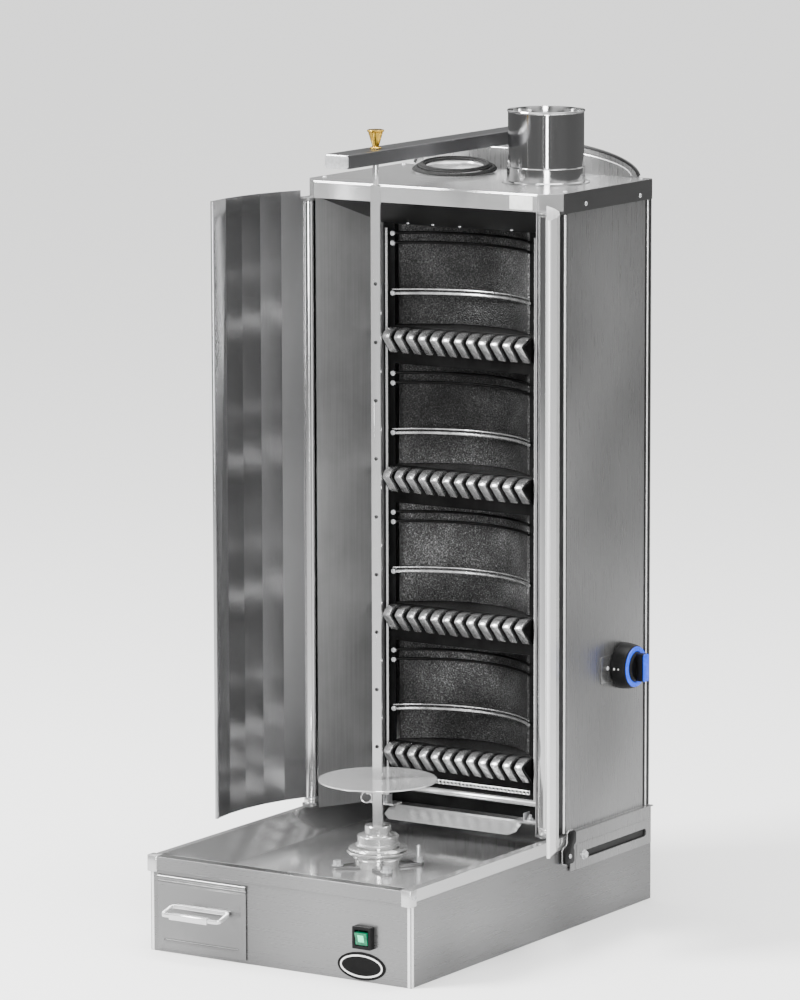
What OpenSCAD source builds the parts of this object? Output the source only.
// Vertical rotisserie broiler: a gas tower with four stacked burners and two
// swing wings slides on a low base that holds the drip tray, the spindle drive,
// a grease drawer and the top arm that steadies the spindle.
// Origin: centre of the underside of the base. +X right, +Y back, +Z up.

/* [Base] */
// Width of the base box, left to right
base_w = 400; // [396:1:404]
// Depth of the base box, front to back
base_d = 600; // [590:1:620]
// Height of the tray rim above the table
base_h = 126; // [124:1:127]
// Height of the folded rim band
rim_h = 16; // [14:1:18]
// Sheet thickness of casings and walls
sheet = 1.5; // [1.2:0.1:1.6]
// Height of the tray floor above the table
tray_floor_z = 90; // [88:1:92]

/* [Drawer and switch] */
// Width of the drawer front
drawer_w = 137; // [130:1:138]
// Depth of the drawer pan, front to back
drawer_d = 228; // [180:1:235]
// Width of the drawer handle
handle_w = 88; // [60:1:110]
// Reach of the drawer handle in front of the drawer
handle_reach = 30; // [22:1:36]
// Width of the rocker switch's bezel
switch_w = 28; // [27:1:32]
// Angle from the switch's rest to its other side
rocker_swing = 16; // [8:1:16]

/* [Spindle] */
// Distance of the spindle axis in front of the base centre
spindle_y = 67; // [64:1:70]
// Side of the square spindle bar
spindle_side = 12; // [10:0.5:14]
// Height of the top of the spindle bar
spindle_top = 986; // [960:1:1000]
// Diameter of the round meat plate
disc_d = 156; // [120:1:160]
// Height of the meat plate
disc_z = 205; // [190:1:220]

/* [Tower] */
// Height of the top cover
tower_h = 973; // [968:1:976]
// Outer width of the tower
tower_w = 390; // [388:1:392]
// Front plane of the tower, behind the base centre
tower_front = 50; // [48:1:52]
// Forward travel of the tower on its slotted skirts
slide_travel = 100; // [60:5:100]
// Height that the back panel's arch rises above the top cover
arch_rise = 41; // [30:1:41]

/* [Burners] */
// Number of burners, one above the other
burner_count = 4; // [4:1:4]
// Distance from one burner to the next
burner_pitch = 187.5; // [186:0.5:188]
// Height of the lowest fin strip's top
fin_low_z = 208.5; // [206:0.5:210]
// Radius of the hollow radiant faces
radiant_r = 135; // [132:1:140]
// Teeth on each fin strip
teeth = 12; // [8:1:12]

/* [Wings] */
// Length of a wing from its hinge to its free edge
wing_len = 190; // [170:1:192]
// How far a wing bows out between its edges
wing_bow = 15; // [8:1:18]
// Angle of the left wing from fully closed
left_open = 98; // [90:1:110]
// Angle of the right wing from fully closed
right_open = 122.7; // [100:0.1:130]

/* [Flue and arm] */
// Outer diameter of the flue collar
flue_d = 102; // [98:1:104]
// Height of the flue collar above the top cover
flue_h = 96; // [60:1:110]
// Width of the top arm
arm_w = 36; // [30:1:40]
// Thickness of the top arm
arm_h = 18; // [16:1:20]
// Height of the arm's underside
arm_z = 1015; // [1014:1:1018]

/* [Hidden] */

$fn = 64;
steel = "silver";
dark = "dimgray";
hw = base_w / 2;
hd = base_d / 2;
shell_h = base_h - rim_h;
tw = tower_w / 2;
fit = 0.05;               // radial clearance of a running shaft
gap = 0.4;                // clearance between pieces that slide past each other

// tray
tray_t = 1.2;
tray_front = -hd + 12;
tray_back = hd - 10;
left_rim = 9;             // flat part of the left rim, before its slope
left_slope = 21;
right_rim = 13;
tray_side = hw - right_rim;
drain = [-119, -200];
drain_r = 15;

// drawer
drawer_x = -118.7;
drawer_z0 = 5;
drawer_h = 97.5;
pan_w = drawer_w - 6.4;
pan_z0 = 8;
pan_h = 70;
opening_gap = 0.6;

// switch and badge
switch_at = [131, 58.5];
switch_h = 29;
switch_proud = 9;
window = [20, 20.6];
pivot_y = -hd - 2;
badge_at = [126, 20];
badge = [72, 36];

// drive
shaft_r = 10;
housing_top = 107.4;
socket_z0 = 108;
gear_w = 90;
gear_h = 78.5;
motor_r = 28;
motor_z = 46;
motor_len = 130;

// arm and mast
arm_front = -160;
mast_y0 = hd + 4;
mast_d = 30;
arm_back = mast_y0 + mast_d;
arm_wall = 2;
pin_r = 4;

// tower
chamfer = [23, 26];       // cut corners of the tower's plan, across and back
wall_y0 = 85;
back_y = 301.5;
wall_z0 = base_h + 1;
skirt_x = hw + 1.5;
skirt_z0 = 78;
plate_z1 = 112;
plate_y0 = 99.6;
skirt_y1 = 293;
slot_z = 95;
slot_r = 5.2;
bolt_r = 4;
bolt_y = 118;
slot_y1 = 275;
band_z0 = 946;
lintel_z0 = 950;
hinge_at = [184, 52];
rod_r = 6;
wing_z0 = 142;
wing_z1 = 960;
bracket_t = 4;
tube_top = lintel_z0 - bracket_t - gap;
arch_half = 176.5;
arch_crown = arch_rise + 3;   // full height of the oval before its flat top

// burner cavity
cheek_front = [170, tower_front];
cheek_back = [123, 141];
frame_y = cheek_back[1];
burner_w = 214;
casing_back = 230;
arc_y = 190 - radiant_r;  // centre of the radiant arcs
rod_end = [107, 136.5];     // where a bowed rod meets the frame, across and back
rod_sag = 41.5;
bow_r = (rod_end[0] * rod_end[0] + rod_sag * rod_sag) / (2 * rod_sag);
bow_y = rod_end[1] + rod_sag - bow_r;
rod_heights = [47, 56, 115, 128];
window_w = 210;
tooth_w = 11;
tooth_pitch = 18.8;
tooth_reach = 26.5;   // how far the blunt noses stand out from the frame
baffle_back_z = 913;
flue_at = [100, 190];
vent_at = [-70, 235];
vent_r = 50;

// gas
gas_at = [150, 220];
manifold_r = 9;
manifold_z0 = 160;
inlet_r = 10.5;
knob_at = [226, 331];     // along Y and Z on the right wall
knob_r = 31;
knob_depth = 21;          // thickness of the knob's round body

function fin_z(i) = fin_low_z + i * burner_pitch;

// A box from its lowest corner to its highest corner
module block(a, b) translate(a) cube(b - a);

// A round bar along X, Y or Z, from one end point, with a length
module bar_x(at, r, len) translate(at) rotate([0, 90, 0]) cylinder(h = len, r = r);
module bar_y(at, r, len) translate(at) rotate([-90, 0, 0]) cylinder(h = len, r = r);
module bar_z(at, r, len) translate(at) cylinder(h = len, r = r);

// The same piece on the left and on the right
module both_sides() {
    children();
    mirror([1, 0, 0]) children();
}

// A hexagon head with its washer, pointing along +X
module hex_head_x(at, r, h) {
    bar_x(at, r + 2, 1);
    translate(at) rotate([0, 90, 0]) cylinder(h = h, r = r, $fn = 6);
}

// ---- base -------------------------------------------------------------------

module base_shell() color(steel) difference() {
    block([-hw, -hd, 0], [hw, hd, base_h - tray_t]);
    block([-hw + sheet, -hd + sheet, -1], [hw - sheet, hd - sheet, base_h]);
    block([-hw - 1, -hd + sheet, shell_h], [hw + 1, hd + 1, base_h]);
    block([drawer_x - pan_w / 2 - opening_gap, -hd - 1, pan_z0 - 2],
          [drawer_x + pan_w / 2 + opening_gap, -hd + 2, pan_z0 + pan_h + opening_gap]);
    block([switch_at[0] - window[0] / 2, -hd - 1, switch_at[1] - window[1] / 2],
          [switch_at[0] + window[0] / 2, -hd + 2, switch_at[1] + window[1] / 2]);
}

module base_floor() color(steel)
    block([-hw + sheet, -hd + sheet, 0], [hw - sheet, hd - sheet, sheet]);

// The section of the tray, a folded sheet seen from the front
module tray_section() {
    low = tray_floor_z;
    top = base_h;
    foot = -hw + left_rim + left_slope;
    polygon([[-hw, shell_h], [-hw, top], [-hw + left_rim, top], [foot, low],
        [tray_side, low], [tray_side, top], [hw, top], [hw, shell_h],
        [hw - tray_t, shell_h], [hw - tray_t, top - tray_t],
        [tray_side + tray_t, top - tray_t], [tray_side + tray_t, low - tray_t],
        [foot - 0.7, low - tray_t], [-hw + left_rim - 0.7, top - tray_t],
        [-hw + tray_t, top - tray_t], [-hw + tray_t, shell_h]]);
}

module drip_tray() color("lightgray") difference() {
    union() {
        translate([0, tray_back, 0]) rotate([90, 0, 0])
            linear_extrude(tray_back - tray_front) tray_section();
        block([-hw + left_rim + left_slope - 1, tray_front, tray_floor_z - tray_t],
              [tray_side + 1, tray_front + tray_t, base_h]);
        block([-hw + left_rim, tray_back - tray_t, tray_floor_z - tray_t],
              [tray_side + 1, tray_back, base_h]);
        block([-hw, tray_back - tray_t, base_h - tray_t], [hw, hd, base_h]);
        block([-hw, hd - tray_t, shell_h], [hw, hd, base_h]);
    }
    bar_z([0, -spindle_y, 0], 24, base_h);
    bar_z([drain[0], drain[1], 0], drain_r, base_h);
}

module front_rim() color("gainsboro") difference() {
    block([-hw - 2, -hd - 4, shell_h - 2], [hw + 2, tray_front, base_h]);
    block([-hw - 3, -hd - 4 + tray_t, shell_h - 3], [hw + 3, tray_front + 1, base_h - tray_t]);
}

module drawer_runners() color(dark) for (side = [-1, 1])
    block([drawer_x + side * (pan_w / 2 - 8) - 6, -hd + 4, sheet],
          [drawer_x + side * (pan_w / 2 - 8) + 6, -hd + 4 + drawer_d, pan_z0 - gap]);

module switch_bezel() color("black") translate([switch_at[0], -hd, switch_at[1]])
    difference() {
        block([-switch_w / 2, -switch_proud, -switch_h / 2], [switch_w / 2, 0, switch_h / 2]);
        block([-window[0] / 2, -switch_proud - 1, -window[1] / 2],
              [window[0] / 2, 1, window[1] / 2]);
    }

module badge_plate() color("black") translate([badge_at[0], -hd, badge_at[1]])
    rotate([90, 0, 0]) linear_extrude(1.2) scale([badge[0] / 2, badge[1] / 2]) circle(1);

module drive_motor() color(dark) {
    bar_y([0, -spindle_y + gear_w / 2, motor_z], motor_r, motor_len);
    block([-16, -spindle_y + gear_w / 2 + 20, sheet],
          [16, -spindle_y + gear_w / 2 + 100, motor_z - motor_r + 3]);
}

module gearbox() color("gray") difference() {
    union() {
        block([-gear_w / 2, -spindle_y - gear_w / 2, sheet],
              [gear_w / 2, -spindle_y + gear_w / 2, sheet + gear_h]);
        bar_z([0, -spindle_y, sheet + gear_h], 20, 3);
    }
    bar_z([0, -spindle_y, 40], shaft_r + fit, 60);
}

module bearing_housing() color("whitesmoke") difference() {
    union() {
        bar_z([0, -spindle_y, tray_floor_z], 38, housing_top - tray_floor_z);
        block([-46, -spindle_y - 46, tray_floor_z], [46, -spindle_y + 46, tray_floor_z + 4]);
    }
    bar_z([0, -spindle_y, tray_floor_z - 1], 22, 40);
}

module bearing() color(steel) difference() {
    bar_z([0, -spindle_y, tray_floor_z + 1], 22, 15);
    bar_z([0, -spindle_y, tray_floor_z], shaft_r + fit, 20);
}

module housing_bolts() color("whitesmoke") for (a = [0:3])
    translate([0, -spindle_y, tray_floor_z + 4]) rotate(45 + 90 * a) translate([54, 0, 0]) {
        cylinder(h = 1.2, r = 8);
        cylinder(h = 7, r = 6, $fn = 6);
        if (a == 0) cylinder(h = 22, r = 3);
    }

module slide_bolts() color(steel) both_sides() {
    bar_x([hw, bolt_y, slot_z], bolt_r, 5.5);
    hex_head_x([hw + 4.8, bolt_y, slot_z], 7, 6);
}

module cable_gland() color("black") {
    bar_y([150, hd, 40], 9, 12);
    translate([150, hd, 40]) rotate([-90, 0, 0]) cylinder(h = 5, r = 12, $fn = 6);
}

module rear_mast() color(steel) {
    difference() {
        block([-arm_w / 2, mast_y0, 20], [arm_w / 2, arm_back, arm_z]);
        block([-arm_w / 2 + arm_wall, mast_y0 + arm_wall, 10],
              [arm_w / 2 - arm_wall, arm_back - arm_wall, arm_z + 1]);
    }
    block([-32, hd, 20], [32, mast_y0, 105]);
}

module arm_tube() color("gray") difference() {
    block([-arm_w / 2, arm_front + 3, arm_z], [arm_w / 2, arm_back, arm_z + arm_h]);
    block([-arm_w / 2 + arm_wall, arm_front, arm_z + arm_wall],
          [arm_w / 2 - arm_wall, arm_back - arm_wall, arm_z + arm_h - arm_wall]);
    bar_z([0, -spindle_y, arm_z - 1], pin_r + fit, arm_h + 2);
}

module arm_end_cap() color("gainsboro") {
    block([-arm_w / 2, arm_front, arm_z], [arm_w / 2, arm_front + 3, arm_z + arm_h]);
    block([-arm_w / 2 + arm_wall, arm_front + 3, arm_z + arm_wall],
          [arm_w / 2 - arm_wall, arm_front + 15, arm_z + arm_h - arm_wall]);
}

// ---- drawer and switch ------------------------------------------------------

module drawer_pan() color(steel) difference() {
    block([drawer_x - pan_w / 2, -hd - gap, pan_z0],
          [drawer_x + pan_w / 2, -hd - gap + drawer_d, pan_z0 + pan_h]);
    block([drawer_x - pan_w / 2 + tray_t, -hd - gap + tray_t, pan_z0 + tray_t],
          [drawer_x + pan_w / 2 - tray_t, -hd - gap + drawer_d - tray_t, pan_z0 + pan_h + 1]);
}

module drawer_front() color(steel) {
    block([drawer_x - drawer_w / 2, -hd - gap - sheet, drawer_z0],
          [drawer_x + drawer_w / 2, -hd - gap, drawer_z0 + drawer_h]);
    block([drawer_x - drawer_w / 2, -hd - gap - 4, drawer_z0 + drawer_h - sheet],
          [drawer_x + drawer_w / 2, -hd - gap, drawer_z0 + drawer_h]);
}

module drawer_handle() color("gray") translate([drawer_x, -hd - gap - sheet, 60]) {
    for (side = [-1, 1]) {
        bar_y([side * (handle_w / 2 - 5), -handle_reach + 4, 0], 4, handle_reach - 4);
        bar_y([side * (handle_w / 2 - 5), -3, 0], 8, 3);
    }
    bar_x([-handle_w / 2, -handle_reach + 4, 0], 4.5, handle_w);
}

module switch_rocker() color("mediumseagreen")
    translate([switch_at[0] - window[0] / 2 + 0.5, pivot_y, switch_at[1]])
        rotate([rocker_swing / 2, 0, 0]) rotate([90, 0, 90]) linear_extrude(window[0] - 1)
            polygon([[-9.5, -8.6], [-7.6, 0], [-9.5, 8.6], [3, 7.5], [3, -7.5]]);

// ---- spindle ----------------------------------------------------------------

module output_shaft() color(steel)
    bar_z([0, -spindle_y, 42], shaft_r, socket_z0 - 42);

module spindle_socket() color("whitesmoke") difference() {
    translate([0, -spindle_y, socket_z0]) rotate_extrude() polygon([[0, 0], [41, 0],
        [41, 9], [27.5, 9], [27.5, 21], [25, 23], [17.5, 27], [17.5, 38], [0, 38]]);
    translate([0, -spindle_y, socket_z0 + 6]) rotate(25) translate([0, 0, 20])
        cube([spindle_side, spindle_side, 40], center = true);
}

module spindle_bar() color("whitesmoke") translate([0, -spindle_y, 0]) rotate(25)
    difference() {
        block([-spindle_side / 2, -spindle_side / 2, socket_z0 + 6],
              [spindle_side / 2, spindle_side / 2, spindle_top]);
        bar_z([0, 0, spindle_top - 14], pin_r + fit, 20);
        for (k = [0:17]) translate([0, 0, disc_z + 8 + 38 * k])
            if (k % 2 == 0) bar_x([-spindle_side, 0, 0], 2.5, 2 * spindle_side);
            else bar_y([0, -spindle_side, 0], 2.5, 2 * spindle_side);
    }

module meat_disc() color("gainsboro") translate([0, -spindle_y, disc_z]) difference() {
    union() {
        cylinder(h = 2, r = disc_d / 2);
        translate([0, 0, -14]) cylinder(h = 14, r = 13);
    }
    rotate(25) cube([spindle_side, spindle_side, 60], center = true);
}

module disc_pin() color("whitesmoke") translate([0, -spindle_y, disc_z - 17]) rotate(25) {
    for (turn = [0, 180]) rotate(turn)
        bar_x([spindle_side / 2, 0, 0], 2.2, 9);
    translate([-spindle_side / 2 - 9, 0, -6]) rotate([90, 0, 0])
        rotate_extrude() translate([7, 0]) circle(1.1, $fn = 16);
}

// ---- tower ------------------------------------------------------------------

module adjusting_slot() {
    x0 = skirt_x - 1;
    z = slot_z;
    bar_x([x0, bolt_y - 2, z], slot_r, 6);
    bar_x([x0, slot_y1, z], slot_r, 6);
    block([x0, bolt_y - 2, z - slot_r], [x0 + 6, slot_y1, z + slot_r]);
}

module side_wall() color(steel) difference() {
    union() {
        block([tw - sheet, wall_y0, wall_z0], [tw, back_y, tower_h - sheet]);
        block([tw - sheet, wall_y0, wall_z0], [skirt_x + sheet, back_y, wall_z0 + sheet]);
        block([skirt_x, wall_y0, skirt_z0], [skirt_x + sheet, skirt_y1, wall_z0 + sheet]);
        block([skirt_x, plate_y0, skirt_z0], [skirt_x + sheet + tray_t, skirt_y1, plate_z1]);
    }
    adjusting_slot();
    bar_x([tw - 10, knob_at[0], knob_at[1]], 6, 12);
}

module left_side_wall() mirror([1, 0, 0]) side_wall();
module right_side_wall() side_wall();

module back_panel() color(steel) translate([0, back_y + sheet, 0]) rotate([90, 0, 0])
    linear_extrude(sheet) difference() {
        union() {
            translate([-tw, wall_z0]) square([2 * tw, tower_h - wall_z0]);
            intersection() {
                translate([0, tower_h]) scale([1, arch_crown / arch_half])
                    circle(arch_half, $fn = 96);
                translate([-arch_half, tower_h]) square([2 * arch_half, arch_rise]);
            }
        }
        translate([gas_at[0], manifold_z0]) circle(12);
        for (row = [0:4]) for (k = [-1, 1])
            translate([k * 90 - 40, 300 + 120 * row]) square([80, 8]);
    }

// Plan of the tower between its chamfered front corners, grown by g
module tower_plan(g, back) polygon([
    [-tw + chamfer[0] - g * 0.7, tower_front - g], [tw - chamfer[0] + g * 0.7, tower_front - g],
    [tw + g, tower_front + chamfer[1] - g * 0.7], [tw + g, back],
    [-tw - g, back], [-tw - g, tower_front + chamfer[1] - g * 0.7]]);

module top_cover() color(steel) difference() {
    translate([0, 0, band_z0]) linear_extrude(tower_h - band_z0) tower_plan(sheet, back_y);
    translate([0, 0, band_z0 - 1]) linear_extrude(tower_h - band_z0 + 1 - sheet)
        tower_plan(0, back_y + 5);
    block([-tw + chamfer[0], 0, band_z0 - 1], [tw - chamfer[0], tower_front + 1, tower_h - sheet]);
    block([-tw - 5, 0, band_z0 - 1], [tw + 5, tower_front + chamfer[1], lintel_z0]);
    bar_z([flue_at[0], flue_at[1], band_z0], flue_d / 2, 60);
    bar_z([vent_at[0], vent_at[1], band_z0], vent_r - 6, 60);
}

module front_lintel() color("gainsboro") {
    x = tw - chamfer[0];
    block([-x, tower_front - sheet, lintel_z0], [x, tower_front, tower_h - sheet]);
    block([-x + 4, tower_front - sheet, lintel_z0], [x - 4, tower_front + 5, lintel_z0 + sheet]);
}

// Plan of the open cavity between the two cheeks
module cavity_plan() polygon([
    [-cheek_front[0], tower_front], cheek_front, cheek_back, [-cheek_back[0], cheek_back[1]]]);

module ceiling_baffle() color("black") intersection() {
    drop = lintel_z0 - baffle_back_z;
    reach = frame_y - tower_front - 8;
    translate([0, tower_front + 8, lintel_z0]) rotate([-atan(drop / reach), 0, 0])
        translate([-200, -2, -sheet]) cube([400, 200, sheet]);
    translate([0, 0, 800]) linear_extrude(200) cavity_plan();
}

module cheek() color(dark) translate([0, 0, wall_z0 + 1])
    linear_extrude(lintel_z0 - wall_z0 - 1)
        polygon([cheek_front, cheek_back, cheek_back + [1.3, 0.7], cheek_front + [1.3, 0.7]]);

module left_cheek() mirror([1, 0, 0]) cheek();
module right_cheek() cheek();

module hinge_rods() color(steel) both_sides() {
    low = wall_z0 + sheet + bracket_t;
    bar_z([hinge_at[0], hinge_at[1], low - bracket_t], rod_r, tube_top + gap - low + 2 * bracket_t);
    difference() {
        bar_z([hinge_at[0], hinge_at[1], low], 9, wing_z0 - gap - low);
        bar_z([hinge_at[0], hinge_at[1], low - 1], rod_r - 1, 30);
    }
}

module hinge_brackets() color(steel) both_sides()
    for (z = [wall_z0 + sheet, tube_top + gap]) difference() {
        union() {
            bar_z([hinge_at[0], hinge_at[1], z], 12, bracket_t);
            block([hinge_at[0] - 11, hinge_at[1], z], [tw - sheet, wall_y0 + 8, z + bracket_t]);
        }
        bar_z([hinge_at[0], hinge_at[1], z - 1], rod_r, bracket_t + 2);
    }

module skirt_shoes() color("black") both_sides()
    block([skirt_x + sheet, 61, 89], [skirt_x + sheet + 6, 92, 135]);

module burner_frame() color(dark) difference() {
    block([-cheek_back[0], frame_y, wall_z0 + 1], [cheek_back[0], frame_y + sheet, baffle_back_z]);
    for (i = [0:burner_count - 1])
        block([-window_w / 2, 0, fin_z(i) + 4], [window_w / 2, 300, fin_z(i) + 140]);
}

// Sheet boxes with a hollow arc in front and an open back
module burner_casings() color(dark) for (i = [0:burner_count - 1]) difference() {
    low = fin_z(i) - 4;
    high = fin_z(i) + 148;
    seat_r = radiant_r + 10;
    block([-burner_w / 2, frame_y + sheet, low], [burner_w / 2, casing_back, high]);
    bar_z([0, arc_y, fin_z(i) + 4], seat_r, 136);
    block([-window_w / 2, 100, fin_z(i) + 4], [window_w / 2, frame_y + 8, fin_z(i) + 140]);
    difference() {
        block([-burner_w / 2 + sheet, frame_y + 2 * sheet, low + sheet],
              [burner_w / 2 - sheet, casing_back + 1, high - sheet]);
        bar_z([0, arc_y, fin_z(i) + 4 - sheet], seat_r + sheet, 136 + 2 * sheet);
        block([-burner_w / 2, 100, fin_z(i) + 4 - sheet],
              [burner_w / 2, frame_y + 10, fin_z(i) + 140 + sheet]);
    }
}

module radiant_panel(i) color("darkslategray") intersection() {
    difference() {
        bar_z([0, arc_y, fin_z(i) + 5], radiant_r + 10, 134);
        bar_z([0, arc_y, fin_z(i)], radiant_r, 200);
    }
    block([-window_w / 2 + 1, frame_y + 8, 0], [window_w / 2 - 1, 300, tower_h]);
}

module fin_strip(i) color("gray") translate([0, 0, fin_z(i)]) {
    front = frame_y - tooth_reach;
    first = -(teeth - 1) * tooth_pitch / 2 - tooth_w / 2;
    block([-burner_w / 2 - 5, frame_y - sheet, -12], [burner_w / 2 + 5, frame_y, 0]);
    for (k = [0:teeth - 1]) translate([first + k * tooth_pitch, 0, 0])
        rotate([90, 0, 90]) linear_extrude(tooth_w) polygon([[frame_y - 1, 1.5],
            [front + 15, 1.5], [front + 4, -4], [front, -9], [frame_y - 5.5, -31.5],
            [frame_y - 2.5, -29.5], [front + 4.5, -9], [front + 7, -6.5],
            [front + 16, -2], [frame_y - 1, -2]]);
    for (side = [-1, 1]) translate([side * (burner_w / 2 + 4.2) - 0.75, 0, 0])
        rotate([90, 0, 90]) linear_extrude(sheet)
            polygon([[frame_y, 2], [front, -8], [frame_y, -34]]);
}

module radiant_panel_1() radiant_panel(0);
module radiant_panel_2() radiant_panel(1);
module radiant_panel_3() radiant_panel(2);
module radiant_panel_4() radiant_panel(3);
module fin_strip_1() fin_strip(0);
module fin_strip_2() fin_strip(1);
module fin_strip_3() fin_strip(2);
module fin_strip_4() fin_strip(3);

// Round bars bowed along the front of every radiant face
module burner_rods() color(dark) for (i = [0:burner_count - 1]) for (up = rod_heights)
    intersection() {
        translate([0, bow_y, fin_z(i) + up]) rotate_extrude($fn = 96)
            translate([bow_r, 0]) circle(2, $fn = 20);
        block([-rod_end[0], 100, 0], [rod_end[0], 300, tower_h]);
    }

module lower_bar() color("gainsboro")
    bar_x([-cheek_back[0] + 1, frame_y - 4.5, 150], 4.5, 2 * cheek_back[0] - 2);

module guard_plate() color("gainsboro") {
    translate([0, 128, 127]) rotate([31, 0, 0]) translate([0, -29, -sheet]) linear_extrude(sheet)
        polygon([[-94, 0], [94, 0], [104, 8], [104, 24], [98, 29], [-98, 29], [-104, 24], [-104, 8]]);
    for (side = [-1, 1]) translate([side * 115, 0, 0])
        block([-19, 119, wall_z0 - 1], [19, frame_y, wall_z0 + 1]);
}

module flue_collar() color(steel) translate([flue_at[0], flue_at[1], 0]) difference() {
    union() {
        bar_z([0, 0, tower_h - 12], flue_d / 2, flue_h + 12);
        bar_z([0, 0, tower_h], flue_d / 2 + 7, 1.2);
    }
    bar_z([0, 0, tower_h - 20], flue_d / 2 - 1.2, flue_h + 40);
}

module vent_ring() color(dark) translate([vent_at[0], vent_at[1], tower_h]) {
    difference() {
        cylinder(h = 12, r = vent_r);
        translate([0, 0, -1]) cylinder(h = 20, r = vent_r - 6);
    }
    translate([0, 0, 3]) cylinder(h = 1.2, r = vent_r - 5);
}

module gas_manifold() color("darkgoldenrod") {
    bar_z([gas_at[0], gas_at[1], manifold_z0], manifold_r, fin_z(3) + 80 - manifold_z0);
    for (i = [0:burner_count - 1])
        bar_x([burner_w / 2, gas_at[1], fin_z(i) + 70], 6, gas_at[0] - burner_w / 2);
    bar_y([gas_at[0], gas_at[1], manifold_z0], manifold_r, back_y - gas_at[1]);
    bar_y([gas_at[0], back_y, manifold_z0], inlet_r, 34);
}

module gas_valve() color("darkgoldenrod") difference() {
    bar_x([gas_at[0] + manifold_r - 1, knob_at[0], knob_at[1]], 14, tw - sheet - gas_at[0] - manifold_r);
    bar_x([tw - 16, knob_at[0], knob_at[1]], pin_r + fit, 30);
    bar_z([gas_at[0], gas_at[1], knob_at[1] - 40], manifold_r, 80);
}

// ---- wings ------------------------------------------------------------------

facets = 5;
function bow(t) = -wing_bow * 4 * t * (1 - t);

// One wing closed, with its hinge at the origin and its free edge along +X
module wing() color(steel) difference() {
    union() {
        bar_z([0, 0, wing_z0], 10, tube_top - wing_z0);
        translate([0, 0, wing_z0]) linear_extrude(wing_z1 - wing_z0) polygon(concat(
            [for (k = [0:facets]) [8 + (wing_len - 10) * k / facets, bow(k / facets)]],
            [for (k = [facets:-1:0]) [8 + (wing_len - 10) * k / facets, bow(k / facets) + 1.4]]));
        bar_z([wing_len - 2.5, 0.7, wing_z0], 2.5, wing_z1 - wing_z0);
    }
    bar_z([0, 0, 0], rod_r + fit, tube_top + 1);
    bar_z([0, 0, tube_top], 14, 30);
}

module left_wing() translate([-hinge_at[0], hinge_at[1], 0]) rotate(-left_open) wing();
module right_wing() translate([hinge_at[0], hinge_at[1], 0]) rotate(right_open)
    mirror([1, 0, 0]) wing();

// ---- knob and top pin -------------------------------------------------------

module gas_knob() color("black") translate([0, knob_at[0], knob_at[1]]) {
    bar_x([tw - 14, 0, 0], pin_r, 20);
    bar_x([tw + 2, 0, 0], knob_r, knob_depth);
    bar_x([tw + 2 + knob_depth, 0, 0], 22, 5);
    block([tw + 2 + knob_depth, -6, -18], [tw + 20 + knob_depth, 6, 18]);
}

module knob_ring() color("dodgerblue") translate([0, knob_at[0], knob_at[1]]) difference() {
    bar_x([tw + 2 + knob_depth, 0, 0], 26, 1.5);
    bar_x([tw + 1 + knob_depth, 0, 0], 22, 4);
}

module top_pin() color(steel)
    bar_z([0, -spindle_y, spindle_top - 12], pin_r, arm_z + arm_h + gap - spindle_top + 12);

module brass_knob() color("gold") translate([0, -spindle_y, arm_z + arm_h + gap])
    rotate_extrude() polygon([[0, 0], [9, 0], [9, 5], [6.5, 7], [6.5, 10],
        [11, 15], [12, 20], [10, 24.6], [0, 24.6]]);

base_shell();
base_floor();
drip_tray();
front_rim();
drawer_runners();
switch_bezel();
badge_plate();
drive_motor();
gearbox();
bearing_housing();
bearing();
housing_bolts();
slide_bolts();
cable_gland();
rear_mast();
arm_tube();
arm_end_cap();
drawer_pan();
drawer_front();
drawer_handle();
switch_rocker();
output_shaft();
spindle_socket();
spindle_bar();
meat_disc();
disc_pin();
left_side_wall();
right_side_wall();
back_panel();
top_cover();
front_lintel();
ceiling_baffle();
left_cheek();
right_cheek();
hinge_rods();
hinge_brackets();
skirt_shoes();
burner_frame();
burner_casings();
radiant_panel_1();
radiant_panel_2();
radiant_panel_3();
radiant_panel_4();
fin_strip_1();
fin_strip_2();
fin_strip_3();
fin_strip_4();
burner_rods();
lower_bar();
guard_plate();
flue_collar();
vent_ring();
gas_manifold();
gas_valve();
left_wing();
right_wing();
gas_knob();
knob_ring();
top_pin();
brass_knob();
